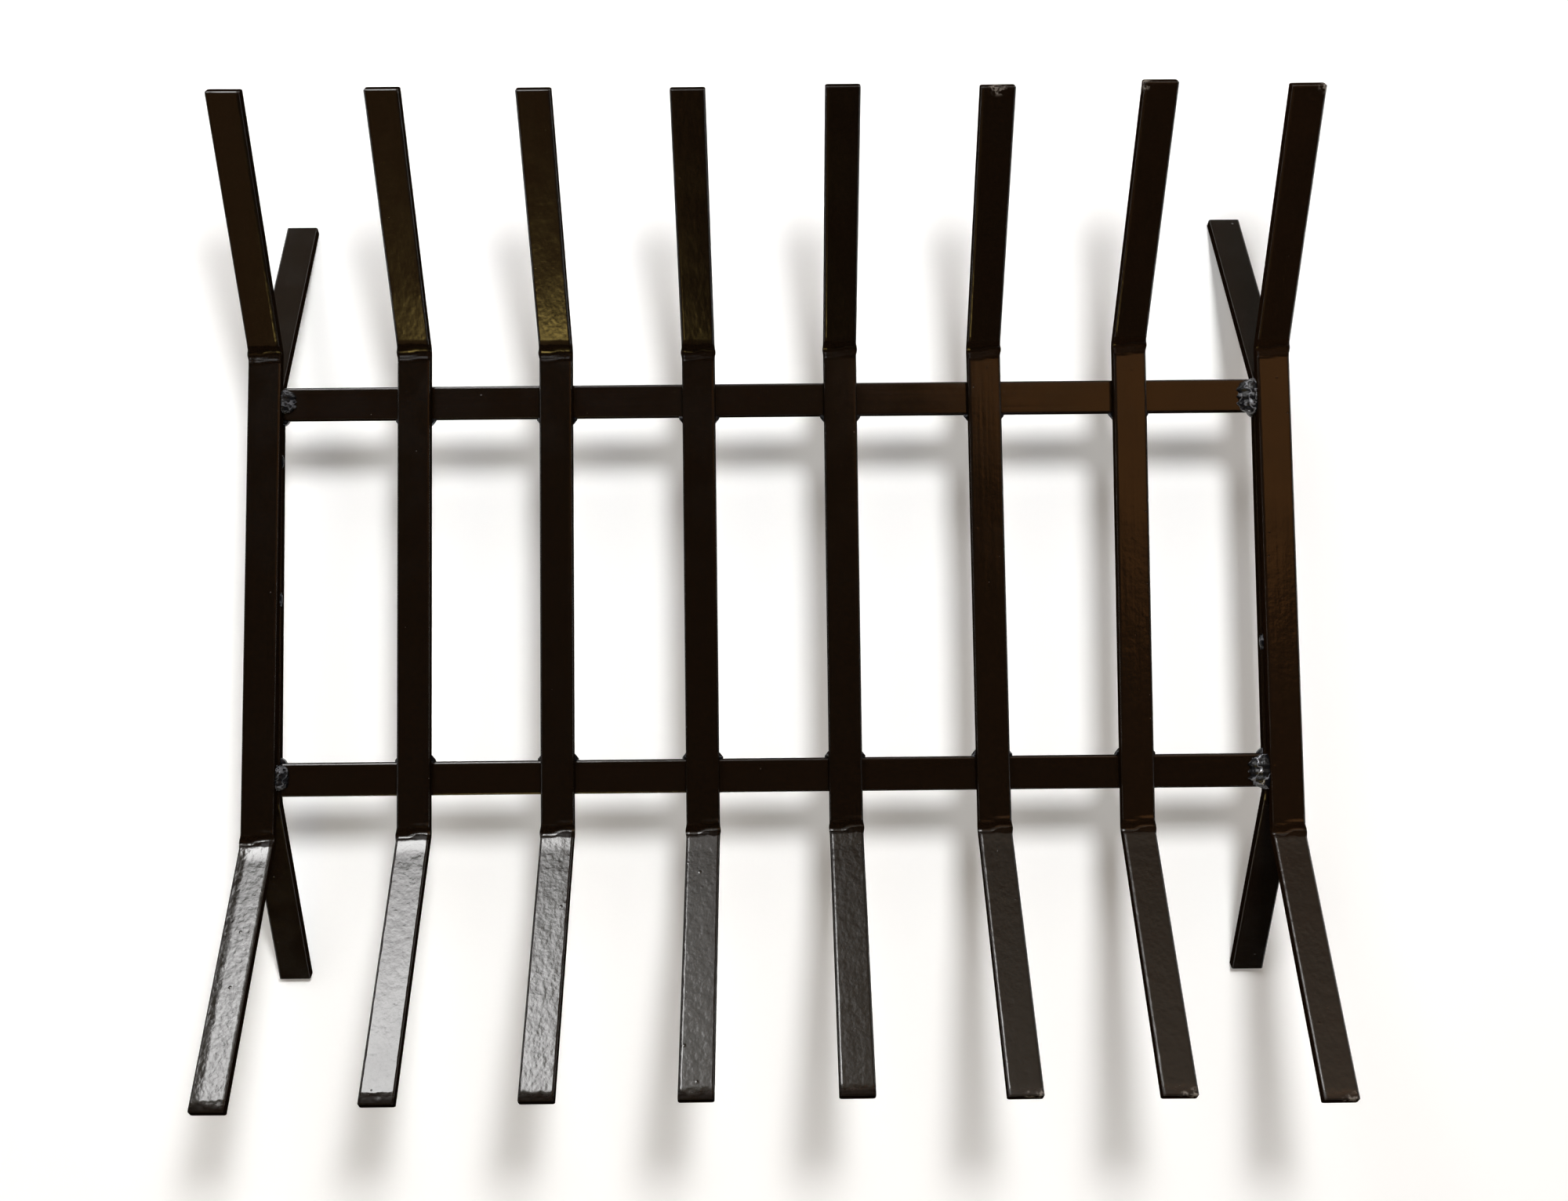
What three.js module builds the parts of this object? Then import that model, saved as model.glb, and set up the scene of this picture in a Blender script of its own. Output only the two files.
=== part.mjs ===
// Log grate: eight flat bars with both ends bent up, welded across two rails,
// which butt between two bent leg frames. The end bars lie on the leg frames.
// Millimetres. +X right, +Y to the back, +Z up, origin on the floor under the middle.

import * as THREE from 'three';

// Flat bar stock, the same for the bars, the rails and the leg frames
const barWidth = 19.05;
const barThickness = 6.35;
const stockCornerRadius = 0.9;
const endChamfer = 0.5;

// Log bars
const barCount = 8;
const barPitch = 83.6;
const bedHalfLength = 138.2;
const armLength = 150.6;
const armAngle = 32;

// Press bends: an arc on the inner side of the bend, with a mark from a two-part punch. The
// mark is a groove with a raised lip on its flat side. It steps over between its halves.
const bendInnerRadius = 10;
const punchDepth = 0.55;
const punchWidth = 5;
const punchLip = 0.3;
const punchLipWidth = 3;
const punchStep = { back: 0.6, front: 1.2 };
const punchSplit = 6;
const bendBulge = 0.7;

// Rails
const railSpacing = 217.7;
const railSetBack = 2;
const railEndGap = 0.3;

// Leg frames
const legLength = 135;
const legAngle = 32;
const legBendClear = 1.5;
const legFrameShift = -0.8;

// Welds
const crossingWeldLeg = 4.5;
const crossingWeldOverrun = 2.2;
const cornerWeldRise = 5;
const innerWeldLeg = 3.2;
const tackHeight = 3;
const tackProud = 1.2;

// The grate is put together by hand. How far each bar strays from the even layout: along
// the rails, then askew, as the sideways drift of its back bend from its middle, and then
// the sideways lean of its back tip and of its front tip.
const barShift = [-1.3, 2.8, 1.35, 0.65, -0.95, -0.35, -0.55, 0.5];
const barSkew = [1, -0.2, -0.2, -0.4, -0.2, -0.8, 0.6, -0.7];
const backTipLean = [-0.4, -0.8, -1.7, -1.5, -0.4, -0.1, 1.5, -1.3];
const frontTipLean = [0.8, -1.9, -1.6, -2.4, -0.4, 1.1, 0.2, -3.7];
// How much further out than the rest each bar was bent, at its back and at its front
const backBendOut = [0.5, 1, 0, -0.5, 0.5, -0.5, 1.5, -1];
const frontBendOut = [2.8, -0.3, -1, -1, -2, -0.8, -0.2, 2.8];
// Sideways lean of each foot
const footLean = { left: { back: -0.5, front: -1.4 }, right: { back: -2.5, front: -1 } };

// Corner welds: length along the bar, leg on the rail, offset from the rail's middle
const cornerWelds = {
  left: {
    back: { length: 14, leg: 7.5, offset: 1.2 },
    front: { length: 15, leg: 6.5, offset: 1.6 },
  },
  right: {
    back: { length: 21, leg: 10, offset: -0.8 },
    front: { length: 20, leg: 10.5, offset: -0.6 },
  },
};

// Tacks along the seam between an end bar and its leg frame: place along Y, length
const seamTacks = {
  left: [{ y: 77, length: 7.5 }, { y: -3, length: 8 }],
  right: [{ y: -33, length: 9 }],
};

const sides = { left: -1, right: 1 };
const ends = { back: 1, front: -1 };

const paint = { roughness: 0.42, metalness: 0.45 };
const barMaterial = new THREE.MeshStandardMaterial({ color: 0x2a231d, ...paint });
const railMaterial = new THREE.MeshStandardMaterial({ color: 0x261f1a, ...paint });
const legMaterial = new THREE.MeshStandardMaterial({ color: 0x2c2723, ...paint });
const weldMaterial = new THREE.MeshStandardMaterial({
  color: 0x4b4a4a,
  roughness: 0.25,
  metalness: 0.7,
});

// Heights of the layers, from the feet up. A foot stands on the lower edge of its
// square-cut end, so the chamfer there takes a little off the drop of the leg.
const legTilt = THREE.MathUtils.degToRad(legAngle);
const armTilt = THREE.MathUtils.degToRad(armAngle);
const railTop =
  (legLength - endChamfer) * Math.sin(legTilt) + barThickness * Math.cos(legTilt);
const bedTop = railTop + barThickness;

const railY = (end) => railSetBack + (end * railSpacing) / 2;
const barSlope = (index) => (barSkew[index] ?? 0) / bedHalfLength;
const barX = (index, y = 0) =>
  (index - (barCount - 1) / 2) * barPitch + (barShift[index] ?? 0) + y * barSlope(index);
const endBarIndex = (side) => (side < 0 ? 0 : barCount - 1);
const legFrameX = (side) => {
  const evenX = (side * (barCount - 1) * barPitch) / 2;
  return evenX + legFrameShift;
};
const legInnerX = (side) => legFrameX(side) - (side * barWidth) / 2;
const endBarTurn = (side) => -Math.atan(barSlope(endBarIndex(side)));
const barInnerX = (side, y) =>
  barX(endBarIndex(side), y) - (side * barWidth) / 2 / Math.cos(endBarTurn(side));

// A smooth hump: 1 at the middle, 0 at and past the given half width
function hump(distance, halfWidth) {
  const t = Math.min(Math.abs(distance) / halfWidth, 1);
  return Math.cos((t * Math.PI) / 2) ** 2;
}

// Closed solid through a row of outlines with equal point counts. Both ends are closed by
// a fan around the point fanAt, from which the rest of the outline can be seen.
function loft(rings, fanAt = 0) {
  const count = rings[0].length;
  const points = rings.flat();
  const faces = [];
  for (let ring = 0; ring < rings.length - 1; ring += 1) {
    for (let k = 0; k < count; k += 1) {
      const next = (k + 1) % count;
      const a = ring * count + k;
      const b = ring * count + next;
      faces.push([a, b, b + count], [a, b + count, a + count]);
    }
  }
  const last = (rings.length - 1) * count;
  for (let k = 1; k < count - 1; k += 1) {
    const b = (fanAt + k) % count;
    const c = (fanAt + k + 1) % count;
    faces.push([fanAt, c, b], [last + fanAt, last + b, last + c]);
  }
  const volume = faces.reduce((sum, [a, b, c]) => {
    const cross = new THREE.Vector3().crossVectors(points[b], points[c]);
    return sum + points[a].dot(cross);
  }, 0);
  const outward = volume > 0 ? faces : faces.map(([a, b, c]) => [a, c, b]);
  const geometry = new THREE.BufferGeometry().setFromPoints(points);
  geometry.setIndex(outward.flat());
  geometry.computeVertexNormals();
  return geometry;
}

// Outline of the stock: across the bar, and depth below its upper face. The upper face has
// two extra points at the split between the halves of the punch.
function stockOutline() {
  const radius = Math.min(stockCornerRadius, barThickness / 3);
  const flatX = barWidth / 2 - radius;
  const flatZ = barThickness / 2 - radius;
  const cornerSteps = 2;
  const outline = [];
  const corner = (signX, signZ, startAngle) => {
    for (let step = 0; step <= cornerSteps; step += 1) {
      const angle = startAngle - (step / cornerSteps) * (Math.PI / 2);
      outline.push({
        across: signX * flatX + radius * Math.cos(angle),
        depth: barThickness / 2 - (signZ * flatZ + radius * Math.sin(angle)),
      });
    }
  };
  outline.push({ across: -punchSplit / 2, depth: 0 }, { across: punchSplit / 2, depth: 0 });
  corner(1, 1, Math.PI / 2);
  corner(1, -1, 0);
  corner(-1, -1, -Math.PI / 2);
  corner(-1, 1, Math.PI);
  return outline;
}

const outline = stockOutline();
const outlineFan = 5;

// The outline pulled in by the chamfer, for the end faces
function chamfered(point) {
  const edge = Math.abs(point.across) > barWidth / 4;
  return {
    across: point.across - (edge ? Math.sign(point.across) * endChamfer : 0),
    depth: point.depth + (point.depth < barThickness / 2 ? endChamfer : -endChamfer),
  };
}

// One half of a bent bar, from the middle out to one end. The path follows the upper face:
// flat, then an arc, then straight at the tilt, up for rise 1 and down for rise -1.
// The bend is where the two straight runs would meet. The halves of its punch mark are step
// to either side of it, and a bend with no step has no mark.
function bentHalf({ end, rise, bendAt, length, tilt, lean, step = 0, arcSteps }) {
  const radius = rise > 0 ? bendInnerRadius : bendInnerRadius + barThickness;
  const tangent = radius * Math.tan(tilt / 2);
  const arcHalf = (radius * tilt) / 2;
  const tipAt = length - tangent + arcHalf;

  const station = (along) => {
    const turned = THREE.MathUtils.clamp((along + arcHalf) / radius, 0, tilt);
    const before = Math.min(along + arcHalf, 0);
    const after = Math.max(along - arcHalf, 0);
    const outY = bendAt - tangent + before + radius * Math.sin(turned) + after * Math.cos(tilt);
    const upZ = radius * (1 - Math.cos(turned)) + after * Math.sin(tilt);
    const leaning = Math.max(outY - bendAt, 0) / (length * Math.cos(tilt));
    return { along, outY, upZ: rise * upZ, turned, x: lean * leaning };
  };

  const marked = Math.max(arcHalf, punchWidth / 2) + step;
  const lipAt = -(punchWidth + punchLipWidth) / 2;
  const ring = (along, shape = (point) => point) => {
    const at = station(along);
    const swell = step ? (2 * bendBulge * hump(along, marked)) / barWidth : 0;
    return outline.map((raw) => {
      const point = shape(raw);
      const half = Math.sign(point.across);
      const reach = Math.max(1 - point.depth / stockCornerRadius, 0);
      const fromMark = along - end * half * step;
      const groove = punchDepth * hump(fromMark, punchWidth / 2);
      const lip = punchLip * hump(fromMark - lipAt, punchLipWidth / 2);
      const dip = step ? (groove - lip) * reach : 0;
      const depth = point.depth + dip;
      const across = point.across * (1 + swell * (1 - point.depth / barThickness));
      return new THREE.Vector3(
        at.x + across,
        end * (at.outY + rise * depth * Math.sin(at.turned)),
        at.upZ - depth * Math.cos(at.turned),
      );
    });
  };

  const zoneStart = step ? Math.min(lipAt - punchLipWidth / 2 - step, -marked) : -arcHalf;
  const zoneEnd = step ? marked : arcHalf;
  const rings = [];
  for (let index = 0; index <= arcSteps; index += 1) {
    rings.push(ring(THREE.MathUtils.lerp(zoneStart, zoneEnd, index / arcSteps)));
  }
  rings.push(ring(tipAt - endChamfer), ring(tipAt, chamfered));
  return rings;
}

// A bar bent at both ends, with the middle of its upper face at the origin
function bentBar({ back, front, ...shared }) {
  const backRings = bentHalf({ end: ends.back, ...shared, ...back });
  const frontRings = bentHalf({ end: ends.front, ...shared, ...front });
  return loft([...frontRings.reverse(), ...backRings], outlineFan);
}

// A straight length of the stock along Y, centred, with its upper face at height 0
function straightBar(length) {
  const ring = (y, shape = (point) => point) =>
    outline.map((raw) => {
      const point = shape(raw);
      return new THREE.Vector3(point.across, y, -point.depth);
    });
  const half = length / 2;
  const rings = [
    ring(-half, chamfered),
    ring(-half + endChamfer),
    ring(half - endChamfer),
    ring(half, chamfered),
  ];
  return loft(rings, outlineFan);
}

// Size of a weld bead along its length: it tapers over endRun at both ends to tipShare of
// its size, and rises and falls with each ripple
function beadScale(t, length, endRun, tipShare, ripples, rippleShare) {
  const fromEnd = Math.min(t, 1 - t) * length;
  const swell = Math.sin((Math.min(fromEnd / endRun, 1) * Math.PI) / 2);
  const ripple = 1 + rippleShare * Math.cos(2 * Math.PI * ripples * (t - 0.5));
  return (tipShare + (1 - tipShare) * swell) * ripple;
}

// Fillet weld in the corner of two faces. It runs along X with the corner at the origin,
// one leg along +Y and the other along +Z, and its face bulges out from a flat one.
function filletWeld({ length, legY, legZ, endRun, ripples, rippleShare, stations }) {
  const faceSteps = 5;
  const fullness = 0.55;
  const tipShare = 0.3;
  const rings = [];
  for (let index = 0; index <= stations; index += 1) {
    const t = index / stations;
    const x = (t - 0.5) * length;
    const scale = beadScale(t, length, endRun, tipShare, ripples, rippleShare);
    const ring = [new THREE.Vector3(x, 0, 0)];
    for (let step = 0; step <= faceSteps; step += 1) {
      const share = step / faceSteps;
      const angle = (share * Math.PI) / 2;
      const y = THREE.MathUtils.lerp(1 - share, Math.cos(angle), fullness);
      const z = THREE.MathUtils.lerp(share, Math.sin(angle), fullness);
      ring.push(new THREE.Vector3(x, y * legY * scale, z * legZ * scale));
    }
    rings.push(ring);
  }
  return loft(rings);
}

// Tack over the seam between an end bar and its leg frame. It runs along X with the seam at
// the origin, +Y inward and +Z up. The leg frame below stands inward by the ledge.
function seamTack({ length, ledge }) {
  const stations = 8;
  const faceSteps = 4;
  const stepped = Math.abs(ledge) > 0.01;
  const rings = [];
  for (let index = 0; index <= stations; index += 1) {
    const t = index / stations;
    const scale = beadScale(t, length, length / 2, 0.3, 1, 0);
    const half = (tackHeight / 2) * scale;
    const x = (t - 0.5) * length;
    const ring = [new THREE.Vector3(x, 0, 0)];
    if (stepped) {
      ring.push(new THREE.Vector3(x, ledge, 0));
    }
    for (let step = 0; step <= faceSteps; step += 1) {
      const share = step / faceSteps;
      const out = tackProud * scale * Math.sin(share * Math.PI);
      const y = THREE.MathUtils.lerp(ledge, 0, share) + out;
      ring.push(new THREE.Vector3(x, y, THREE.MathUtils.lerp(-half, half, share)));
    }
    rings.push(ring);
  }
  return loft(rings, stepped && ledge > 0 ? 1 : 0);
}

const grate = new THREE.Group();

function addPiece(name, geometry, material) {
  const mesh = new THREE.Mesh(geometry, material.clone());
  mesh.name = name;
  grate.add(mesh);
  return mesh;
}

// Puts a bead in its corner, with its two legs along the given directions
function seatBead(mesh, corner, legOne, legTwo) {
  const run = new THREE.Vector3().crossVectors(legOne, legTwo);
  mesh.quaternion.setFromRotationMatrix(new THREE.Matrix4().makeBasis(run, legOne, legTwo));
  mesh.position.copy(corner);
}

const up = new THREE.Vector3(0, 0, 1);
const down = new THREE.Vector3(0, 0, -1);
const alongX = (sign) => new THREE.Vector3(sign, 0, 0);
const alongY = (sign) => new THREE.Vector3(0, sign, 0);
// Square to the inner side of an end bar, towards the middle of the grate
const fromEndBar = (side) => alongX(-side).applyAxisAngle(up, endBarTurn(side));

// Log bars
for (let index = 0; index < barCount; index += 1) {
  const geometry = bentBar({
    rise: 1,
    length: armLength,
    tilt: armTilt,
    arcSteps: 14,
    back: {
      bendAt: bedHalfLength + (backBendOut[index] ?? 0),
      lean: backTipLean[index] ?? 0,
      step: punchStep.back,
    },
    front: {
      bendAt: bedHalfLength + (frontBendOut[index] ?? 0),
      lean: frontTipLean[index] ?? 0,
      step: punchStep.front,
    },
  });
  const bar = addPiece(`bar_${index + 1}`, geometry, barMaterial);
  bar.rotation.z = -Math.atan(barSlope(index));
  bar.position.set(barX(index), 0, bedTop);
}

// Rails, butted between the leg frames under the bars
for (const [endName, end] of Object.entries(ends)) {
  const length = legInnerX(1) - legInnerX(-1) - 2 * railEndGap;
  const rail = addPiece(`rail_${endName}`, straightBar(length), railMaterial);
  rail.rotation.z = Math.PI / 2;
  rail.position.set((legInnerX(1) + legInnerX(-1)) / 2, railY(end), railTop);
}

// Leg frames, level with the rails, bent down just outside them
for (const [sideName, side] of Object.entries(sides)) {
  const bendAt = railSpacing / 2 + barWidth / 2 + legBendClear;
  const geometry = bentBar({
    rise: -1,
    length: legLength,
    tilt: legTilt,
    arcSteps: 5,
    bendAt,
    back: { lean: footLean[sideName].back },
    front: { lean: footLean[sideName].front },
  });
  const frame = addPiece(`leg_frame_${sideName}`, geometry, legMaterial);
  frame.position.set(legFrameX(side), 0, railTop);
}

// Crossing welds: under each inner bar, along the inner edge of each rail
for (let index = 1; index < barCount - 1; index += 1) {
  for (const [endName, end] of Object.entries(ends)) {
    const geometry = filletWeld({
      length: barWidth + 2 * crossingWeldOverrun,
      legY: crossingWeldLeg,
      legZ: crossingWeldLeg,
      endRun: crossingWeldOverrun + stockCornerRadius,
      ripples: 4,
      rippleShare: 0.05,
      stations: 12,
    });
    const weld = addPiece(`weld_bar_${index + 1}_${endName}`, geometry, weldMaterial);
    const innerY = railY(end) - (end * barWidth) / 2;
    const weldAt = new THREE.Vector3(barX(index, innerY), innerY, railTop);
    seatBead(weld, weldAt, alongY(-end), down);
  }
}

for (const [sideName, side] of Object.entries(sides)) {
  for (const [endName, end] of Object.entries(ends)) {
    // Corner weld: on the rail's end, against the inner side of the end bar
    const { length, leg, offset } = cornerWelds[sideName][endName];
    const cornerGeometry = filletWeld({
      length,
      legY: leg,
      legZ: cornerWeldRise,
      endRun: leg / 2,
      ripples: 5,
      rippleShare: 0.09,
      stations: 16,
    });
    const cornerWeld = addPiece(`weld_corner_${endName}_${sideName}`, cornerGeometry, weldMaterial);
    const cornerY = railY(end) + offset;
    const cornerAt = new THREE.Vector3(barInnerX(side, cornerY), cornerY, railTop);
    seatBead(cornerWeld, cornerAt, fromEndBar(side), up);

    // Inner weld: upright in the corner of the rail and the leg frame
    const innerGeometry = filletWeld({
      length: barThickness - 2 * stockCornerRadius,
      legY: innerWeldLeg,
      legZ: innerWeldLeg,
      endRun: stockCornerRadius,
      ripples: 1,
      rippleShare: 0,
      stations: 6,
    });
    const innerWeld = addPiece(`weld_inner_${endName}_${sideName}`, innerGeometry, weldMaterial);
    const innerY = railY(end) - (end * barWidth) / 2;
    const innerAt = new THREE.Vector3(legInnerX(side), innerY, railTop - barThickness / 2);
    seatBead(innerWeld, innerAt, alongX(-side), alongY(-end));
  }

  // Seam tacks
  seamTacks[sideName].forEach(({ y, length }, index) => {
    const ledge = side * (barInnerX(side, y) - legInnerX(side));
    const geometry = seamTack({ length, ledge });
    const tack = addPiece(`seam_tack_${sideName}_${index + 1}`, geometry, weldMaterial);
    const tackAt = new THREE.Vector3(barInnerX(side, y), y, railTop);
    seatBead(tack, tackAt, fromEndBar(side), up);
  });
}

// The hand-set bars leave the outline a little off centre, so the whole is centred last
grate.updateMatrixWorld(true);
const box = new THREE.Box3().setFromObject(grate, true);
const middle = box.getCenter(new THREE.Vector3());
grate.position.set(-middle.x, -middle.y, -box.min.z);

export default grate;
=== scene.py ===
import math

import bpy
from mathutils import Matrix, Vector


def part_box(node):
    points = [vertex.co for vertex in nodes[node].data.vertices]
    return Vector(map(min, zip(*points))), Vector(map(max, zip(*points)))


# Studio scene for a log grate of bent and welded flat bar. Metres, except where a comment
# or a name says millimetres or MM. +X right, +Y to the back, +Z up, the floor at 0.
# A name that ends in SPAN is a pair: the value where something begins to change, and the
# value where the change is complete.

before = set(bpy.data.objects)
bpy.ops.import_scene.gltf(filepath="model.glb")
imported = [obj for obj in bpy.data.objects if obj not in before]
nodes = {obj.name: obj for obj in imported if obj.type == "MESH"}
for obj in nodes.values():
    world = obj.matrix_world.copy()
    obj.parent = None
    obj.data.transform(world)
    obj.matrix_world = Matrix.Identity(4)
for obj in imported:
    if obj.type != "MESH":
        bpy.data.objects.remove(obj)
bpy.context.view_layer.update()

MM = 0.001

# Camera, almost straight above the grate
CAMERA_AT = (-0.0076, -0.0293, 0.9993)
CAMERA_TURN_DEGREES = (3.502, -0.211, -0.577)
CAMERA_SENSOR_MM = 36.0
CAMERA_LENS_MM = 36.58
CAMERA_SHIFT = (0.0125, -0.036)


# ---------------------------------------------------------------- node trees


def linear(colour):
    """sRGB bytes as a linear RGBA colour."""
    parts = [part / 255 for part in colour]
    return [p / 12.92 if p <= 0.04045 else ((p + 0.055) / 1.055) ** 2.4 for p in parts] + [1.0]


class Nodes:
    """Short ways to add nodes to a node tree. A socket given as an input is linked to."""

    def __init__(self, tree):
        self.tree = tree
        tree.nodes.clear()

    def add(self, kind, inputs=None, **settings):
        made = self.tree.nodes.new("ShaderNode" + kind)
        for key, value in settings.items():
            setattr(made, key, value)
        for key, value in (inputs or {}).items():
            self.feed(made.inputs[key], value)
        return made

    def feed(self, socket, value):
        if isinstance(value, bpy.types.NodeSocket):
            self.tree.links.new(value, socket)
        else:
            socket.default_value = value

    def math(self, operation, *values):
        inputs = dict(enumerate(values))
        return self.add("Math", inputs, operation=operation).outputs[0]

    def ramp(self, value, start, end, low=0.0, high=1.0):
        """Goes smoothly from low at start to high at end."""
        inputs = {"Value": value, "From Min": start, "From Max": end, "To Min": low, "To Max": high}
        made = self.add("MapRange", inputs, interpolation_type="SMOOTHSTEP")
        return made.outputs["Result"]

    def mix(self, share, first, second):
        """Mixes two colours."""
        made = self.add("Mix", data_type="RGBA")
        ends = {"Factor_Float": share, "A_Color": first, "B_Color": second}
        for socket in made.inputs:
            if socket.identifier in ends:
                self.feed(socket, ends[socket.identifier])
        return next(o for o in made.outputs if o.identifier == "Result_Color")

    def split(self, vector):
        """The outputs X, Y and Z of a vector."""
        return self.add("SeparateXYZ", {0: vector}).outputs

    def stretch(self, vector, factors):
        inputs = {0: vector, 1: factors}
        return self.add("VectorMath", inputs, operation="MULTIPLY").outputs[0]

    def noise(self, vector, size, detail=2.0, roughness=0.5):
        """Noise with features about as wide as size, in the units of vector."""
        inputs = {"Vector": vector, "Scale": 1 / size, "Detail": detail, "Roughness": roughness}
        return self.add("TexNoise", inputs).outputs["Fac"]

    def waver(self, vector, size):
        """Simple noise from about -1 to about 1."""
        return self.math("MULTIPLY_ADD", self.noise(vector, size, detail=1.0), 2.0, -1.0)


def new_material(name):
    material = bpy.data.materials.new(name)
    material.use_nodes = True
    return material, Nodes(material.node_tree)


def millimetres(n):
    """The place on the object in millimetres."""
    return n.stretch(n.add("TexCoord").outputs["Object"], (1 / MM,) * 3)


def bumped_normal(n, height, edge_round, samples):
    """The normal of a surface with height in millimetres and its edges rounded by edge_round."""
    rounded = n.add("Bevel", {"Radius": edge_round * MM}, samples=samples).outputs["Normal"]
    inputs = {"Strength": 1.0, "Distance": MM, "Height": height, "Normal": rounded}
    return n.add("Bump", inputs).outputs["Normal"]


# ---------------------------------------------------------------- paint

# sRGB bytes
PAINT_DARK = (7, 5, 3)
PAINT_BROWN = (42, 26, 14)
SCUFF = (120, 112, 104)

# How brown the paint is, over its clouds and its grit
BROWN_SPAN = (0.3, 0.7)
BROWN_LEAST = 0.7
SPECKLE_SPAN = (0.4, 0.6)
SPECKLE = 0.25

# Unevenness of the scale under the paint: how wide and how high each kind is, in millimetres.
# Streaks are STREAK_LENGTH times as long as they are wide.
CLOUD_SIZE = 24.0
PATCH_SIZE = 8.0
PATCH_HEIGHT = 0.16
MOTTLE_SIZE = 2.6
MOTTLE_HEIGHT = 0.09
GRIT_SIZE = 0.6
GRIT_HEIGHT = 0.006
STREAK_SIZE = 3.0
STREAK_LENGTH = 25.0
STREAK_HEIGHT = 0.07

# Patches and mottle fade to a share of their height towards the back, in millimetres along Y
LUMPS_FADE_SPAN = (-100.0, 140.0)
LUMPS_LEFT = 0.2

# Sparse pits and bumps, in millimetres, at most one to a cell. Some cells have none.
SPOT_CELL = 7.0
SPOT_CHANCE_SPAN = (0.6, 1.0)
SPOT_DOME = 0.9
PIT_RADIUS = 0.7
PIT_DEPTH = 0.12
BUMP_RADIUS = 1.2
BUMP_HEIGHT = 0.12
MIRRORED = (-1.0, -1.0, -1.0)

# Roughness, over the clouds, and what each feature adds to it
CLOUD_SPAN = (0.35, 0.65)
ROUGHNESS_MOST = 0.18
ROUGHNESS_LEAST = 0.12
PIT_ROUGHNESS = 0.3
TIP_ROUGHNESS = 0.25
SIDE_ROUGHNESS = 0.45
SCUFF_ROUGHNESS = 0.3

# Reflection. A face counts as a side when the upward part of its normal is at the low end.
PAINT_IOR = 1.75
SPECULAR_LEVEL = 0.5
SIDE_SPAN = (0.55, 0.8)

EDGE_ROUND = 0.9
EDGE_SAMPLES = 4

# Shape of a log bar's upper face finer than its solid, in millimetres: the fall towards its
# long edges and its front tip, and the rise of each arm where it springs back past its bend
HALF_WIDTH = 9.5
RAGGED_SIZE = 6.0
CROWN_RAGGED = 0.3
CROWN_FALL = 0.35
TIP_RAGGED = 1.5
TIP_ROLL = 6.0
TIP_FALL = 1.0
FRONT_SPRING = 11.0
FRONT_RISE = 0.9
BACK_SPRING = 7.0
BACK_RISE = 0.6

# A burnt front tip loses most of its gloss
BURNT_SPAN = (0.2, 0.8)
BURNT_LOSS = 0.85

# The press polished the paint in front of the front bend. The polish begins POLISHED
# millimetres from the bend, and is complete at POLISH_SHARE of that. The gloss there is
# POLISH_LEAST, and up to POLISH_MORE more.
POLISHED = 11.0
POLISH_SHARE = 0.4
POLISH_LEAST = 0.8
POLISH_MORE = 0.6

# Wear of the front arm, which begins to fade where the polish begins, and is gone at
# WEAR_SHARE of that: flecks, and creases along the lines where their noise is at one level
WEAR_SHARE = 0.7
FLECK_SIZE = 2.0
FLECK_ROUGHNESS = 0.65
FLECK_SPAN = (0.35, 0.7)
FLECK_LEAST = 0.3
CREASE_LEVEL = 0.47
CREASE_WIDTH = 0.02
CREASE_MOST = 0.7
CREASE_SPAN = (0.5, 0.65)

# Punch marks at the bends, in millimetres: how far behind the bend the bright line is, the
# step between its halves, its width, and how far the dull scale reaches in front of the
# bend and behind it
FRONT_MARK = {"behind": 0.0, "step": 2.4, "width": 1.8, "before": 2.2, "after": 3.5}
BACK_MARK = {"behind": 0.6, "step": 0.8, "width": 0.9, "before": 4.5, "after": 4.0}
MARK_WAVE_SIZE = 5.0
MARK_STEP_SPAN = (-3.0, 3.0)
MARK_LINE_BLUR = 0.2
MARK_END_BLUR = 1.0
MARK_GLOSS = 0.06

# Pale scuffs: solid within a share of their radius, and broken up by the mottle
SCUFF_SOLID = 0.4
SCUFF_SPAN = (0.45, 0.6)


def spots(n, vector, largest):
    """Sparse round domes, 1 in the middle of the largest and 0 outside them."""
    inputs = {"Vector": vector, "Scale": 1 / SPOT_CELL, "Randomness": 1.0}
    cells = n.add("TexVoronoi", inputs, feature="F1").outputs
    chance = n.split(cells["Color"])["X"]
    radius = n.ramp(chance, *SPOT_CHANCE_SPAN, 0.0, largest / SPOT_CELL)
    inside = n.math("SUBTRACT", radius, cells["Distance"])
    return n.ramp(inside, 0.0, SPOT_DOME * largest / SPOT_CELL)


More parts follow.
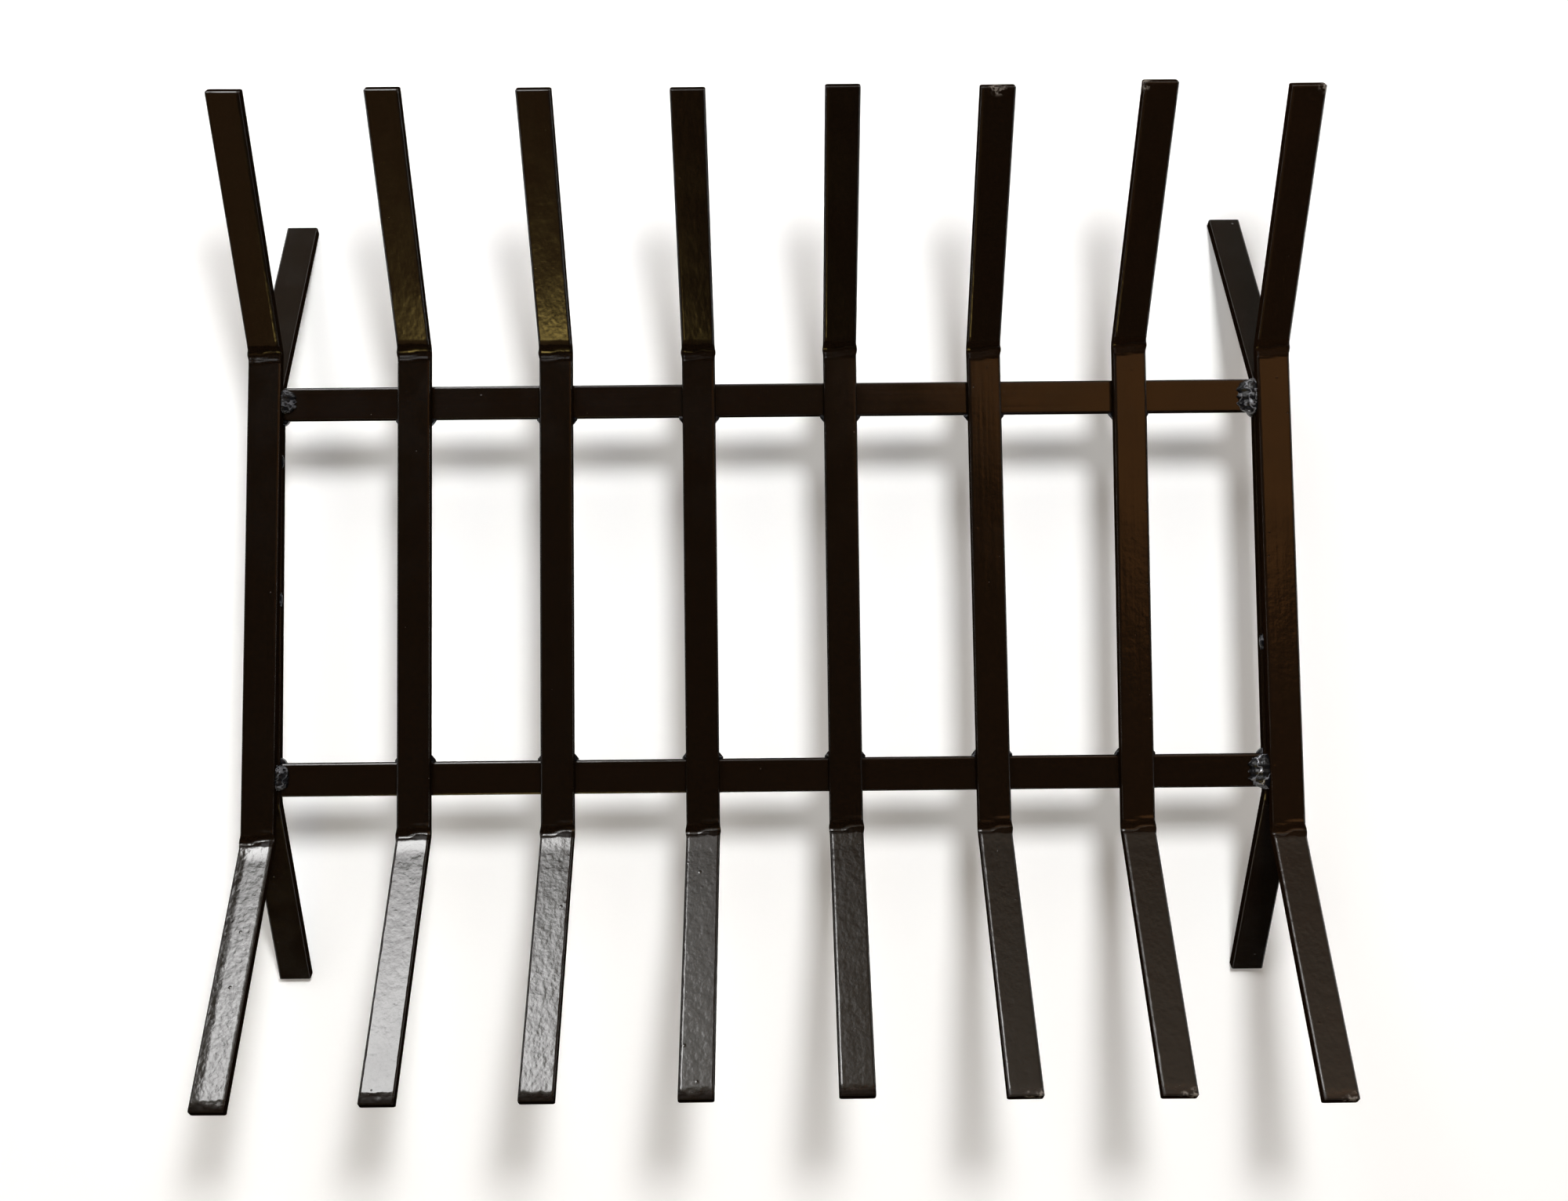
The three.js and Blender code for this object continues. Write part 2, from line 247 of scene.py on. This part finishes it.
class Paint:
    """Satin paint over mill scale on one piece. grain is the direction of its stock, and
    lumps is how uneven its scale is. The methods build up its height in millimetres, its
    roughness, its gloss, which is 1 where nothing dulls or polishes it, and its colour."""

    def __init__(self, name, grain, lumps):
        self.material, self.n = new_material(name)
        n = self.n
        self.vector = millimetres(n)
        place = n.split(self.vector)
        self.x, self.y = place["X"], place["Y"]
        self.clouds = n.noise(self.vector, CLOUD_SIZE, detail=3.0)
        self.mottle = n.noise(self.vector, MOTTLE_SIZE, detail=3.0)
        self.grit = n.noise(self.vector, GRIT_SIZE, detail=1.0)
        self.gloss = 1.0
        self.lay_scale(grain, lumps)

    def lift(self, mask, height):
        self.height = self.n.math("MULTIPLY_ADD", mask, height, self.height)

    def roughen(self, mask, roughness):
        self.roughness = self.n.math("MULTIPLY_ADD", mask, roughness, self.roughness)

    def keep_gloss(self, share):
        self.gloss = self.n.math("MULTIPLY", self.gloss, share)

    def lay_scale(self, grain, lumps):
        n = self.n
        patches = n.noise(self.vector, PATCH_SIZE)
        uneven = n.math("MULTIPLY", self.mottle, MOTTLE_HEIGHT)
        uneven = n.math("MULTIPLY_ADD", patches, PATCH_HEIGHT, uneven)
        fade = n.ramp(self.y, *LUMPS_FADE_SPAN, lumps, LUMPS_LEFT * lumps)
        self.height = n.math("MULTIPLY", uneven, fade)
        self.lift(self.grit, GRIT_HEIGHT)
        along = n.stretch(self.vector, [1 / STREAK_LENGTH if part else 1.0 for part in grain])
        self.lift(n.noise(along, STREAK_SIZE, detail=1.0), STREAK_HEIGHT)
        pits = spots(n, self.vector, PIT_RADIUS)
        self.lift(pits, -PIT_DEPTH)
        self.lift(spots(n, n.stretch(self.vector, MIRRORED), BUMP_RADIUS), BUMP_HEIGHT)
        self.roughness = n.ramp(self.clouds, *CLOUD_SPAN, ROUGHNESS_MOST, ROUGHNESS_LEAST)
        self.roughen(pits, PIT_ROUGHNESS)

    def round_face(self, across, crown, front_tip, burnt):
        """The upper face falls off a little towards its long edges and its front tip."""
        n = self.n
        ragged = n.waver(self.vector, RAGGED_SIZE)
        wandering = n.math("MULTIPLY", ragged, CROWN_RAGGED)
        for reach, outward in zip(crown, (-1.0, 1.0)):
            beyond = n.math("MULTIPLY_ADD", across, outward, wandering)
            self.lift(n.ramp(beyond, reach, HALF_WIDTH), -CROWN_FALL)
        from_tip = n.math("SUBTRACT", self.y, front_tip)
        from_tip = n.math("MULTIPLY_ADD", ragged, TIP_RAGGED, from_tip)
        rolled = n.ramp(from_tip, 0.0, TIP_ROLL, 1.0, 0.0)
        self.lift(rolled, -TIP_FALL * burnt)
        self.roughen(rolled, TIP_ROUGHNESS)
        self.keep_gloss(n.ramp(rolled, *BURNT_SPAN, 1.0, 1.0 - BURNT_LOSS * burnt))

    def polish_bend(self, front_bend, pressed):
        """The press polished the paint in front of the front bend."""
        start, end = front_bend - POLISHED, front_bend - POLISH_SHARE * POLISHED
        best = POLISH_LEAST + POLISH_MORE * pressed
        self.keep_gloss(self.n.ramp(self.y, start, end, 1.0, best))

    def wear_arm(self, front_bend, wear):
        """Flecks and creases rubbed dull on the front arm."""
        n = self.n
        start, end = front_bend - POLISHED, front_bend - WEAR_SHARE * POLISHED
        noise = n.noise(self.vector, FLECK_SIZE, detail=4.0, roughness=FLECK_ROUGHNESS)
        clouded = n.ramp(self.clouds, *CLOUD_SPAN, FLECK_LEAST, 1.0)
        flecks = n.math("MULTIPLY", n.ramp(noise, *FLECK_SPAN), clouded)
        off_line = n.math("ABSOLUTE", n.math("SUBTRACT", noise, CREASE_LEVEL))
        creases = n.ramp(off_line, 0.0, CREASE_WIDTH, CREASE_MOST, 0.0)
        creases = n.math("MULTIPLY", creases, n.ramp(self.clouds, *CREASE_SPAN))
        worn = n.math("ADD", flecks, creases)
        self.roughen(n.math("MULTIPLY", worn, n.ramp(self.y, start, end, wear, 0.0)), 1.0)

    def spring_arms(self, front_bend, back_bend, pressed):
        """Past each bend the arm springs back a little, and then runs straight."""
        n = self.n
        self.lift(n.ramp(self.y, front_bend - FRONT_SPRING, front_bend), FRONT_RISE * pressed)
        self.lift(n.ramp(self.y, back_bend, back_bend + BACK_SPRING, 1.0, 0.0), BACK_RISE)

    def mark_bend(self, along, across, bend, behind, step, width, before, after):
        """Scale cracked dull at a bend, with the bright line of the punch through it. The
        line's right half is a step further back than its left one."""
        n = self.n
        line = n.ramp(across, *MARK_STEP_SPAN, -0.5 * step, 0.5 * step)
        line = n.math("ADD", line, bend + behind)
        far = n.math("ABSOLUTE", n.math("SUBTRACT", along, line))
        off_line = n.ramp(far, 0.5 * width - MARK_LINE_BLUR, 0.5 * width + MARK_LINE_BLUR)
        first, last = bend - before, bend + after
        starts = n.ramp(along, first - MARK_END_BLUR, first)
        ends = n.ramp(along, last, last + MARK_END_BLUR, 1.0, 0.0)
        dull = n.math("MULTIPLY", off_line, n.math("MULTIPLY", starts, ends))
        self.keep_gloss(n.ramp(dull, 0.0, 1.0, 1.0, MARK_GLOSS))

    def dull_sides(self):
        """The sides and the ends are duller than the faces that look up."""
        n = self.n
        facing = n.split(n.add("NewGeometry").outputs["True Normal"])["Z"]
        self.roughen(n.ramp(facing, *SIDE_SPAN, 1.0, 0.0), SIDE_ROUGHNESS)
        self.keep_gloss(n.ramp(facing, *SIDE_SPAN))

    def tint(self, brown):
        """Near black, brown by the share brown in the clouds, with a fine brown speckle."""
        n = self.n
        share = n.math("MULTIPLY", n.ramp(self.clouds, *BROWN_SPAN, BROWN_LEAST, 1.0), brown)
        colour = n.mix(share, linear(PAINT_DARK), linear(PAINT_BROWN))
        speckle = n.ramp(self.grit, *SPECKLE_SPAN, 0.0, SPECKLE)
        self.colour = n.mix(speckle, colour, linear(PAINT_BROWN))

    def scuff(self, place, radius):
        """A pale rubbed place, in millimetres."""
        n = self.n
        far = n.add("VectorMath", {0: self.vector, 1: place}, operation="DISTANCE")
        near = n.ramp(far.outputs["Value"], SCUFF_SOLID * radius, radius, 1.0, 0.0)
        scuffed = n.math("MULTIPLY", near, n.ramp(self.mottle, *SCUFF_SPAN))
        self.colour = n.mix(scuffed, self.colour, linear(SCUFF))
        self.roughen(scuffed, SCUFF_ROUGHNESS)

    def finish(self):
        n = self.n
        paint = n.add(
            "BsdfPrincipled",
            {
                "Base Color": self.colour,
                "Roughness": self.roughness,
                "IOR": PAINT_IOR,
                "Specular IOR Level": n.math("MULTIPLY", self.gloss, SPECULAR_LEVEL),
                "Normal": bumped_normal(n, self.height, EDGE_ROUND, EDGE_SAMPLES),
            },
        )
        n.add("OutputMaterial", {"Surface": paint.outputs[0]})
        return self.material


def frame_paint(name, brown, grain):
    """Paint of a rail or a leg frame. brown is the share of brown in its colour."""
    paint = Paint(name, grain, 1.0)
    paint.dull_sides()
    paint.tint(brown)
    return paint.finish()


def across_bar(n, x, y, line):
    """How far right of a bar's middle line a place is, in millimetres. line is a row of
    (x, y) places on that line, from the front to the back."""
    middle = line[0][0]
    for (start_x, start_y), (end_x, end_y) in zip(line, line[1:]):
        inputs = {"Value": y, "From Min": start_y, "From Max": end_y, "To Max": end_x - start_x}
        step = n.add("MapRange", inputs)
        middle = n.math("ADD", step.outputs["Result"], middle)
    return n.math("SUBTRACT", x, middle)


def bar_paint(name, brown, grain, line, scuffs, wear, lumps, crown, pressed, burnt):
    """Paint of a log bar. brown is the share of brown in its colour. line goes through its
    front tip, its bends and its back tip, and scuffs are places with a radius. wear is how
    dull its front arm is rubbed, lumps is how uneven its scale is, and crown is how far its
    flat face reaches to the left and to the right of its line. pressed is how much the press
    polished it, and burnt is how dark its front tip is. Places are in millimetres."""
    front_tip, front_bend, back_bend = (place[1] for place in line[:3])
    paint = Paint(name, grain, lumps)
    n = paint.n
    across = across_bar(n, paint.x, paint.y, line)
    paint.round_face(across, crown, front_tip, burnt)
    paint.polish_bend(front_bend, pressed)
    paint.wear_arm(front_bend, wear)
    paint.spring_arms(front_bend, back_bend, pressed)
    along = n.math("ADD", paint.y, n.waver(paint.vector, MARK_WAVE_SIZE))
    paint.mark_bend(along, across, front_bend, **FRONT_MARK)
    paint.mark_bend(along, across, back_bend, **BACK_MARK)
    paint.dull_sides()
    paint.tint(brown)
    for place, radius in scuffs:
        paint.scuff(place, radius)
    return paint.finish()


# ---------------------------------------------------------------- welds

# sRGB bytes
WELD_DARK = (14, 15, 18)
WELD_BRIGHT = (190, 192, 200)

WELD_IOR = 1.5
WELD_ROUGHNESS = 0.2

# Millimetres, except the level and the span of the noise that makes the ridges
WELD_ROUND = 2.0
WELD_SAMPLES = 6
LUMP_SIZE = 4.0
LUMP_HEIGHT = 1.2
RIDGE_SIZE = 7.0
RIDGE_LEVEL = 0.5
RIDGE_SPAN = (0.01, 0.045)
RIDGE_HEIGHT = 0.25
RIPPLE_SIZE = 0.9
RIPPLE_HEIGHT = 0.05

# Ridges on the lumps are barer than those between them
BARE_SPAN = (0.4, 0.6)
BARE_LEAST = 0.3


def weld_metal(name, bright):
    """Lumpy bead under thin glossy paint. bright is how much metal shows on its ridges."""
    material, n = new_material(name)
    vector = millimetres(n)
    lumps = n.noise(vector, LUMP_SIZE)
    wander = n.noise(vector, RIDGE_SIZE)
    off_ridge = n.math("ABSOLUTE", n.math("SUBTRACT", wander, RIDGE_LEVEL))
    ridges = n.ramp(off_ridge, *RIDGE_SPAN, 1.0, 0.0)
    ripples = n.noise(vector, RIPPLE_SIZE, detail=1.0)
    height = n.math("MULTIPLY_ADD", ridges, RIDGE_HEIGHT, n.math("MULTIPLY", lumps, LUMP_HEIGHT))
    height = n.math("MULTIPLY_ADD", ripples, RIPPLE_HEIGHT, height)
    bare = n.math("MULTIPLY", ridges, n.ramp(lumps, *BARE_SPAN, BARE_LEAST * bright, bright))
    metal = n.add(
        "BsdfPrincipled",
        {
            "Base Color": n.mix(bare, linear(WELD_DARK), linear(WELD_BRIGHT)),
            "Metallic": bare,
            "Roughness": WELD_ROUGHNESS,
            "IOR": WELD_IOR,
            "Normal": bumped_normal(n, height, WELD_ROUND, WELD_SAMPLES),
        },
    )
    n.add("OutputMaterial", {"Surface": metal.outputs[0]})
    return material


# ---------------------------------------------------------------- the grate

BAR_COUNT = 8
ACROSS = (1, 0, 0)
ALONG = (0, 1, 0)

# Share of brown: on the frame, on the bars, and how much more there is on the last bar. It
# rises evenly from bar to bar after EVEN_BARS bars.
FRAME_BROWN = 0.1
BAR_BROWN = 0.05
MORE_BROWN = 0.25
EVEN_BARS = 5

CORNER_WELD_BRIGHT = 0.9
OTHER_WELD_BRIGHT = 0.25

# The bars' solids, in millimetres: their width, the height of their tips, and how far a bend
# lies beyond the last flat place
STOCK_WIDTH = 19.05
TIP_HEIGHT = 162.5
BEND_FROM_FLAT = 2.9

# How near a point has to be, in millimetres, to count as on the flat underside, on the upper
# edge of a tip, or beside a place along the bar
FLAT_WITHIN = 0.01
TIP_WITHIN = 0.5
BESIDE_WITHIN = 8.0

# Finish of a log bar, and what differs on some of them
PLAIN_BAR = {"wear": 0.1, "lumps": 1.0, "crown": (7.5, 8.0), "pressed": 0.3, "burnt": 1.0}
FINISH = {
    "bar_1": {"wear": 0.16, "lumps": 1.5, "crown": (3.5, 7.0), "pressed": 1.0},
    "bar_2": {"wear": 0.05, "lumps": 1.2, "crown": (8.0, 8.0), "pressed": 0.8},
    "bar_3": {"wear": 0.08, "lumps": 1.4, "crown": (8.0, 8.0), "pressed": 0.8},
    "bar_6": {"burnt": 0.3},
    "bar_7": {"burnt": 0.3},
    "bar_8": {"burnt": 0.3},
}

# Rubbed places on the bars' tips: end, share of the way from the middle to the right edge,
# and radius in millimetres
SCUFFS = {
    "bar_6": ((-1, 0.8, 4.5), (-1, 0.2, 3.5), (1, 0, 6.0)),
    "bar_7": ((-1, 0.9, 5.5), (-1, 0.2, 3.0), (1, -1, 6.0)),
    "bar_8": ((-1, 0.9, 5.5), (-1, 0.3, 3.5), (1, 1, 6.0)),
}


def bar_line(name):
    """Places (x, y) in millimetres along the middle of a log bar's upper face: its front
    tip, its front bend, its back bend and its back tip."""
    points = [vertex.co / MM for vertex in nodes[name].data.vertices]
    low, high = (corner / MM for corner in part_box(name))
    flat = [p.y for p in points if p.z < low.z + FLAT_WITHIN]
    tips = [p.y for p in points if p.z > high.z - TIP_WITHIN]
    places = (min(tips), min(flat) - BEND_FROM_FLAT, max(flat) + BEND_FROM_FLAT, max(tips))
    line = []
    for place in places:
        near = [p.x for p in points if abs(p.y - place) < BESIDE_WITHIN]
        line.append(((min(near) + max(near)) / 2, place))
    return line


def tip_place(line, end, side):
    """Place on the upper edge of a bar's tip. end is -1 at the front, and side goes from -1
    at the left corner to 1 at the right one."""
    x, y = line[0] if end < 0 else line[-1]
    return (x + side * STOCK_WIDTH / 2, y, TIP_HEIGHT)


def dress(name, material):
    node = nodes[name]
    node.data.materials.clear()
    node.data.materials.append(material)


def dress_bars():
    for number in range(1, BAR_COUNT + 1):
        bar = f"bar_{number}"
        line = bar_line(bar)
        brown = BAR_BROWN + MORE_BROWN * max(number - EVEN_BARS, 0) / (BAR_COUNT - EVEN_BARS)
        scuffs = [(tip_place(line, end, side), radius) for end, side, radius in SCUFFS.get(bar, ())]
        finish = {**PLAIN_BAR, **FINISH.get(bar, {})}
        dress(bar, bar_paint(bar, brown, ALONG, line, scuffs, **finish))


def dress_frame():
    for end in ("back", "front"):
        rail = f"rail_{end}"
        dress(rail, frame_paint(rail, FRAME_BROWN, ACROSS))
    for side in ("left", "right"):
        leg_frame = f"leg_frame_{side}"
        dress(leg_frame, frame_paint(leg_frame, FRAME_BROWN, ALONG))


def dress_welds():
    bright_weld = weld_metal("weld_bright", CORNER_WELD_BRIGHT)
    dull_weld = weld_metal("weld_dull", OTHER_WELD_BRIGHT)
    for name in nodes:
        if name.startswith(("weld", "seam")):
            bright = name.startswith("weld_corner") and name.endswith("right")
            dress(name, bright_weld if bright else dull_weld)


# ---------------------------------------------------------------- studio

FLOOR = (243, 243, 243)
FLOOR_GLOW = 0.2
FLOOR_SIZE = 60.0
FLOOR_DROP = 0.2 * MM

KEY_AT = (0.19, 0.55, 1.5)
KEY_RADIUS = 0.17
KEY_POWER = 32.0

# A window at the back left. Its parts all begin at its left edge, and each is how far right
# it reaches and how bright it is, so that the window ends softly. The sky is a brighter part
# at its upper left.
WINDOW_LEFT = -1.05
WINDOW_AT = (1.22, 1.36)
WINDOW_FACES = (0, -1.42, -1.24)
WINDOW_HEIGHT = 0.72
WINDOW_PARTS = ((-0.42, 2.5), (-0.28, 2.1), (0.08, 0.7))
WINDOW_GAP = 0.02
SKY_RIGHT = -0.3
SKY_AT = (1.15, 1.45)
SKY_HEIGHT = 0.49
SKY_GLOW = 2.9

# Dim coloured panels: an olive one in front for the back arms, and an orange one above the
# right side for the bed
OLIVE_PANEL = {
    "at": (-0.40, -1.55, 1.0),
    "aim": (-0.1, 0.2, 0.1),
    "size": (0.36, 0.6),
    "power": 1.9,
    "colour": (1.0, 0.74, 0.22),
}
ORANGE_PANEL = {
    "at": (1.0, 0.7, 2.2),
    "aim": (0.2, 0, 0.08),
    "size": (1.0, 1.3),
    "power": 1.6,
    "colour": (1.0, 0.42, 0.12),
}

# The room as it is reflected. The spans are parts of the direction along X, Y or Z.
ROOM_DARK = (0.012, 0.009, 0.006, 1.0)
ROOM_WALL = (0.36, 0.32, 0.26, 1.0)
ROOM_BROWN = (0.085, 0.045, 0.018, 1.0)
ROOM_LOW = (0.85, 0.85, 0.85, 1.0)
WALL_Y_SPAN = (0.2, 0.65)
WALL_Z_SPAN = (0.48, 0.66)
WALL_LOW_SHARE = 0.3
BROWN_X_SPAN = (-0.1, 0.0)
BROWN_Y_SPAN = (-0.6, -0.4)
BROWN_Z_SPAN = (0.3, 0.45)
LOW_Z_SPAN = (0.04, 0.11)


def floor_material():
    """Pale floor. The little light of its own lifts it to white where no shadow falls."""
    material, n = new_material("floor")
    ray = n.add("LightPath").outputs
    seen = n.math("ADD", ray["Is Camera Ray"], ray["Is Glossy Ray"])
    seen = n.math("MINIMUM", n.math("ADD", seen, ray["Is Transmission Ray"]), 1.0)
    surface = n.add(
        "BsdfPrincipled",
        {
            "Base Color": linear(FLOOR),
            "Roughness": 1.0,
            "Specular IOR Level": 0.0,
            "Emission Color": (1.0, 1.0, 1.0, 1.0),
            "Emission Strength": n.math("MULTIPLY", seen, FLOOR_GLOW),
        },
    )
    n.add("OutputMaterial", {"Surface": surface.outputs[0]})
    return material


def add_floor():
    bpy.ops.mesh.primitive_plane_add(size=FLOOR_SIZE, location=(0, 0, -FLOOR_DROP))
    floor = bpy.context.object
    floor.name = "floor"
    floor.data.materials.append(floor_material())


def add_key():
    """Soft overhead lamp as strong at the edges of the floor as at the middle."""
    lamp = bpy.data.lights.new("key", "POINT")
    lamp.energy = KEY_POWER
    lamp.shadow_soft_size = KEY_RADIUS
    lamp.use_nodes = True
    n = Nodes(lamp.node_tree)
    falloff = n.add("LightFalloff", {"Strength": 1.0})
    glow = n.add("Emission", {"Strength": falloff.outputs["Constant"]})
    n.add("OutputLight", {"Surface": glow.outputs[0]})
    holder = bpy.data.objects.new("key", lamp)
    bpy.context.scene.collection.objects.link(holder)
    holder.location = KEY_AT
    holder.visible_camera = False
    holder.visible_glossy = False


def add_panel(name, at, aim, size, power, colour=(1, 1, 1)):
    lamp = bpy.data.lights.new(name, "AREA")
    lamp.shape = "RECTANGLE"
    lamp.size, lamp.size_y = size
    lamp.energy = power
    lamp.color = colour
    holder = bpy.data.objects.new(name, lamp)
    bpy.context.scene.collection.objects.link(holder)
    holder.location = at
    holder.rotation_euler = (Vector(aim) - Vector(at)).to_track_quat("-Z", "Y").to_euler()
    holder.visible_camera = False


def add_window(name, right, at, height, glow):
    """A panel from the window's left edge to right, as bright as glow."""
    width = right - WINDOW_LEFT
    middle = Vector(((right + WINDOW_LEFT) / 2, *at))
    power = math.pi * glow * width * height
    add_panel(name, middle, middle + Vector(WINDOW_FACES), (width, height), power)


def add_lamps():
    add_key()
    depth, height = WINDOW_AT
    for index, (right, glow) in enumerate(WINDOW_PARTS):
        at = (depth + index * WINDOW_GAP, height)
        add_window(f"window_{index}", right, at, WINDOW_HEIGHT, glow)
    add_window("sky", SKY_RIGHT, SKY_AT, SKY_HEIGHT, SKY_GLOW)
    add_panel("olive", **OLIVE_PANEL)
    add_panel("orange", **ORANGE_PANEL)


def add_world():
    """Dim room: a light wall at the back, brown at the front left, dark overhead, and pale
    all round low down, where the floor ends."""
    world = bpy.data.worlds.new("studio")
    bpy.context.scene.world = world
    world.use_nodes = True
    n = Nodes(world.node_tree)
    direction = n.split(n.add("TexCoord").outputs["Generated"])
    high_wall = n.ramp(direction["Z"], *WALL_Z_SPAN, WALL_LOW_SHARE, 1.0)
    wall = n.math("MULTIPLY", n.ramp(direction["Y"], *WALL_Y_SPAN), high_wall)
    in_front = n.ramp(direction["Y"], *BROWN_Y_SPAN, 1.0, 0.0)
    brown = n.math("MULTIPLY", in_front, n.ramp(direction["Z"], *BROWN_Z_SPAN))
    brown = n.math("MULTIPLY", brown, n.ramp(direction["X"], *BROWN_X_SPAN, 1.0, 0.0))
    low = n.ramp(direction["Z"], *LOW_Z_SPAN, 1.0, 0.0)
    colour = n.mix(wall, ROOM_DARK, ROOM_WALL)
    colour = n.mix(brown, colour, ROOM_BROWN)
    colour = n.mix(low, colour, ROOM_LOW)
    background = n.add("Background", {"Color": colour, "Strength": 1.0})
    n.add("OutputWorld", {"Surface": background.outputs[0]})


def add_camera():
    data = bpy.data.cameras.new("camera")
    data.sensor_width = CAMERA_SENSOR_MM
    data.lens = CAMERA_LENS_MM
    data.shift_x, data.shift_y = CAMERA_SHIFT
    camera = bpy.data.objects.new("camera", data)
    bpy.context.scene.collection.objects.link(camera)
    camera.location = CAMERA_AT
    camera.rotation_euler = [math.radians(turn) for turn in CAMERA_TURN_DEGREES]
    bpy.context.scene.camera = camera


dress_bars()
dress_frame()
dress_welds()
add_floor()
add_lamps()
add_world()
add_camera()
bpy.context.scene.view_settings.view_transform = "Standard"
